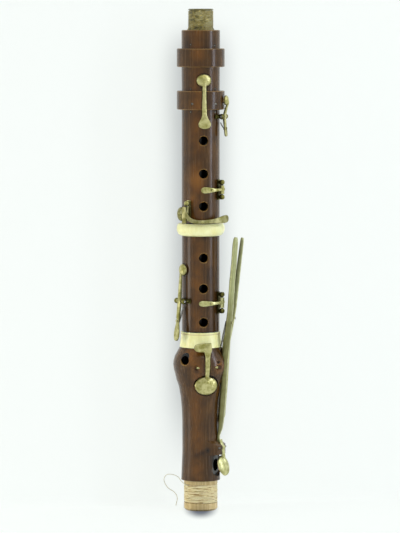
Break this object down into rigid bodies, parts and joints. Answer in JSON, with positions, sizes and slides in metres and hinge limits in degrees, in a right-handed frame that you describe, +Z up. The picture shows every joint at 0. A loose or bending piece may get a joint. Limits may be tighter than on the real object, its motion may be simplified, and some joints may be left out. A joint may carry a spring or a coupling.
{
  "type": "e-flat clarinet body",
  "caption": "Body of an early e-flat clarinet in stained boxwood: three tenoned joints, ivory ferrules, brass keys sprung on steel pins, and thread-wound tenons.",
  "frame": {"origin": "on the end plane of the bell tenon, below the middle of the solid parts", "axes": "+Z up along the bore from the bell tenon to the barrel tenon; finger holes face -Y; the long levers are on the +X side"},
  "size_m": [0.0533, 0.0404, 0.3345],
  "materials": {
    "boxwood": "reddish brown stained boxwood, oiled, worn at the edges",
    "ivory": null,
    "brass": "old yellow brass, filed and hand polished, slightly tarnished",
    "leather": "dark kid leather over felt",
    "steel": "blued steel pins and flat springs, gone dull",
    "thread": "waxed linen thread",
    "thread_core": "older dark layer of waxed thread below the winding"
  },
  "bodies": {
    "body": {"throat_a_pin": "steel", "speaker_pin": "steel", "side_trill_pin": "steel", "side_trill_saddle": "brass", "right_side_pin": "steel", "right_side_saddle": "brass", "a_flat_pin": "steel", "f_sharp_pin": "steel", "e_natural_pin": "steel", "e_natural_flap_pin": "steel", "left_cross_saddle": "brass", "left_cross_pin": "steel", "right_cross_saddle": "brass", "right_cross_pin": "steel", "c_sharp_saddle": "brass", "c_sharp_pin": "steel", "upper_joint": "boxwood", "middle_joint": "boxwood", "stock": "boxwood", "upper_ferrule": "ivory", "lower_ferrule": "ivory", "top_tenon_lapping": "thread", "upper_tenon_lapping": "thread", "middle_tenon_lapping": "thread", "bell_tenon_thread_core": "thread_core", "bell_tenon_thread": "thread", "loose_thread_end": "thread"},
    "throat_a_key": {"throat_a_pad": "leather", "throat_a_spring": "steel", "throat_a_lever": "brass"},
    "speaker_key": {"speaker_pad": "leather", "speaker_spring": "steel", "speaker_lever": "brass"},
    "side_trill_key": {"side_trill_pad": "leather", "side_trill_spring": "steel", "side_trill_lever": "brass"},
    "right_side_key": {"right_side_pad": "leather", "right_side_spring": "steel", "right_side_lever": "brass"},
    "a_flat_key": {"a_flat_pad": "leather", "a_flat_spring": "steel", "a_flat_lever": "brass"},
    "f_sharp_key": {"f_sharp_pad": "leather", "f_sharp_spring": "steel", "f_sharp_lever": "brass"},
    "e_natural_key": {"e_natural_spring": "steel", "e_natural_lever": "brass"},
    "e_natural_flap_key": {"e_natural_flap_pad": "leather", "e_natural_flap_lever": "brass"},
    "left_cross_key": {"left_cross_lever": "brass", "left_cross_pad": "leather", "left_cross_spring": "steel"},
    "right_cross_key": {"right_cross_lever": "brass", "right_cross_pad": "leather", "right_cross_spring": "steel"},
    "c_sharp_key": {"c_sharp_lever": "brass", "c_sharp_pad": "leather", "c_sharp_spring": "steel"}
  },
  "joints": [
    {"name": "throat_a_hinge", "type": "hinge", "parent": "body", "child": "throat_a_key", "pos_m": [-0.00488, -0.01359, 0.2718], "axis": [1, 0, 0], "range_deg": [0, 7], "stiffness_Nm_per_rad": 0.02, "springref_deg": -17.19},
    {"name": "speaker_hinge", "type": "hinge", "parent": "body", "child": "speaker_key", "pos_m": [-0.00488, 0.01301, 0.3021], "axis": [-1, 0, 0], "range_deg": [0, 5], "stiffness_Nm_per_rad": 0.02, "springref_deg": -17.19},
    {"name": "side_trill_hinge", "type": "hinge", "parent": "body", "child": "side_trill_key", "pos_m": [0.00946, -0.00668, 0.2632], "axis": [0.4067, 0.9135, 0], "range_deg": [0, 8], "stiffness_Nm_per_rad": 0.02, "springref_deg": -17.19},
    {"name": "right_side_hinge", "type": "hinge", "parent": "body", "child": "right_side_key", "pos_m": [-0.01954, -0.00592, 0.1407], "axis": [0.3584, -0.9336, 0], "range_deg": [0, 5], "stiffness_Nm_per_rad": 0.02, "springref_deg": -17.19},
    {"name": "a_flat_hinge", "type": "hinge", "parent": "body", "child": "a_flat_key", "pos_m": [-0.00315, -0.0168, 0.097], "axis": [-0.9945, -0.1045, 0], "range_deg": [0, 7], "stiffness_Nm_per_rad": 0.02, "springref_deg": -17.19},
    {"name": "f_sharp_hinge", "type": "hinge", "parent": "body", "child": "f_sharp_key", "pos_m": [0.01123, -0.00199, 0.1025], "axis": [-0.1045, -0.9945, 0], "range_deg": [0, 2], "stiffness_Nm_per_rad": 0.02, "springref_deg": -17.19},
    {"name": "e_natural_hinge", "type": "hinge", "parent": "body", "child": "e_natural_key", "pos_m": [0.0087, -0.00912, 0.1003], "axis": [-0.5446, -0.8387, 0], "range_deg": [0, 1.7], "stiffness_Nm_per_rad": 0.02, "springref_deg": -17.19},
    {"name": "e_natural_flap_hinge", "type": "hinge", "parent": "body", "child": "e_natural_flap_key", "pos_m": [0.00812, -0.00874, 0.0425], "axis": [0.5446, 0.8387, 0], "range_deg": [0, 18]},
    {"name": "left_cross_hinge", "type": "hinge", "parent": "body", "child": "left_cross_key", "pos_m": [0.00789, -0.00924, 0.2148], "axis": [0, 0, -1], "range_deg": [0, 6], "stiffness_Nm_per_rad": 0.02, "springref_deg": -17.19},
    {"name": "right_cross_hinge", "type": "hinge", "parent": "body", "child": "right_cross_key", "pos_m": [0.00797, -0.00913, 0.1395], "axis": [0, 0, -1], "range_deg": [0, 6], "stiffness_Nm_per_rad": 0.02, "springref_deg": -17.19},
    {"name": "c_sharp_hinge", "type": "hinge", "parent": "body", "child": "c_sharp_key", "pos_m": [-0.01599, -0.01125, 0.201], "axis": [0, 0, 1], "range_deg": [0, 4.5], "stiffness_Nm_per_rad": 0.02, "springref_deg": -17.19}
  ],
  "couplings": [
    {"joint": "e_natural_flap_hinge", "follows": "e_natural_hinge", "ratio": 10.58}
  ]
}
